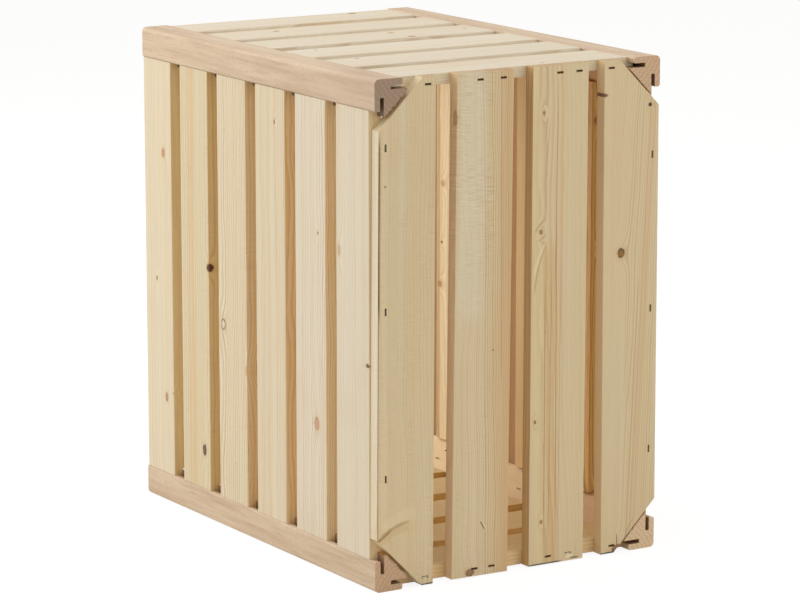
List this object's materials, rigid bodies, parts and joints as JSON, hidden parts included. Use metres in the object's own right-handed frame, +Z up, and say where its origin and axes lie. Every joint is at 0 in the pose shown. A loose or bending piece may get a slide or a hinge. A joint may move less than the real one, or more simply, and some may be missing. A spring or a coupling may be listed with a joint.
{
  "type": "apple crate",
  "caption": "Open slatted wooden crate with grooved corner posts, tongued wall slats and stapled base boards, standing on one short end.",
  "frame": {"origin": "under the middle of the crate, on the plane it stands on: the bottom centre of its box", "axes": "+Z up along the crate's length, which stands upright; +X across its width; -Y is the side of the base boards and +Y is the open mouth"},
  "size_m": [0.33, 0.464, 0.5],
  "materials": {
    "post_wood": "planed pinkish tan wood, bare",
    "slat_wood": "planed pale softwood with small knots, bare",
    "board_wood": "planed softwood, bare",
    "staple_wire": "dull coated wire"
  },
  "bodies": {
    "root": {"corner_post_upper_left": "post_wood", "corner_post_upper_right": "post_wood", "corner_post_lower_left": "post_wood", "corner_post_lower_right": "post_wood", "left_side_slat_1": "slat_wood", "left_side_slat_2": "slat_wood", "left_side_slat_3": "slat_wood", "left_side_slat_4": "slat_wood", "left_side_slat_5": "slat_wood", "left_side_slat_6": "slat_wood", "right_side_slat_1": "slat_wood", "right_side_slat_2": "slat_wood", "right_side_slat_3": "slat_wood", "right_side_slat_4": "slat_wood", "right_side_slat_5": "slat_wood", "right_side_slat_6": "slat_wood", "upper_end_slat_1": "slat_wood", "upper_end_slat_2": "slat_wood", "upper_end_slat_3": "slat_wood", "upper_end_slat_4": "slat_wood", "upper_end_slat_5": "slat_wood", "upper_end_slat_6": "slat_wood", "lower_end_slat_1": "slat_wood", "lower_end_slat_2": "slat_wood", "lower_end_slat_3": "slat_wood", "lower_end_slat_4": "slat_wood", "lower_end_slat_5": "slat_wood", "lower_end_slat_6": "slat_wood", "base_board_1": "board_wood", "base_board_2": "board_wood", "base_board_3": "board_wood", "base_board_4": "board_wood", "base_board_1_staples": "staple_wire", "base_board_2_staples": "staple_wire", "base_board_3_staples": "staple_wire", "base_board_4_staples": "staple_wire", "corner_post_upper_left_staples": "staple_wire", "corner_post_upper_right_staples": "staple_wire", "corner_post_lower_left_staples": "staple_wire", "corner_post_lower_right_staples": "staple_wire"}
  },
  "joints": []
}
